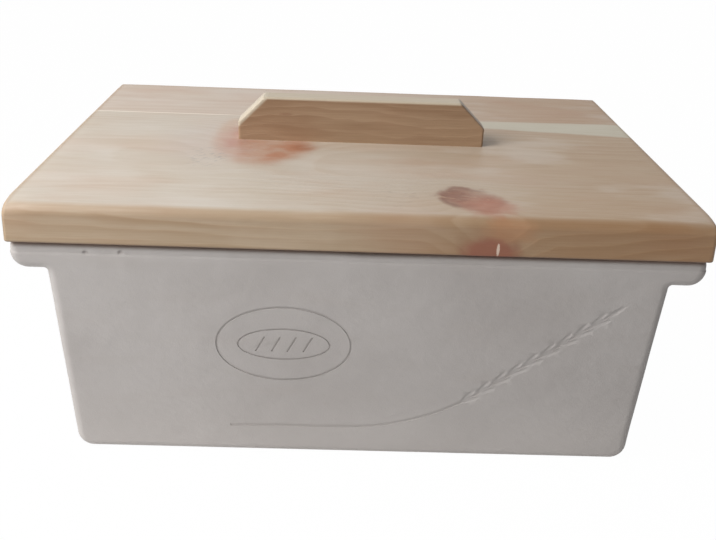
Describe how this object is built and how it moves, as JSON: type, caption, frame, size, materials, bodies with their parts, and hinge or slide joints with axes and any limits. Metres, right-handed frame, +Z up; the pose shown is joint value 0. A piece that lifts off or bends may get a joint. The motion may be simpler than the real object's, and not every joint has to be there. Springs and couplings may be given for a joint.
{
  "type": "bread crock",
  "caption": "Rectangular unglazed earthenware bread crock with grips at the rim and a lift-off pine lid with a bar handle.",
  "frame": {"origin": "on the surface that the crock stands on, under the middle of the lid", "axes": "+Z up, +X along the crock's length, the front wall with the oval towards -Y"},
  "size_m": [0.382, 0.268, 0.1885],
  "materials": {
    "earthenware": "matte unglazed",
    "lid_pine": "planed and oiled, with reddish knots",
    "handle_pine": "planed and oiled",
    "batten_pine": "planed",
    "screw_steel": "zinc plated"
  },
  "bodies": {
    "crock": {"crock_body": "earthenware"},
    "lid": {"lid_front_board": "lid_pine", "lid_rear_board": "lid_pine", "lid_handle": "handle_pine", "handle_screws": "screw_steel", "batten_left": "batten_pine", "batten_right": "batten_pine", "batten_screws": "screw_steel"}
  },
  "joints": [
    {"name": "lid_lift", "type": "slide", "parent": "crock", "child": "lid", "axis": [0, 0, 1], "range_m": [0, 0.3]}
  ]
}
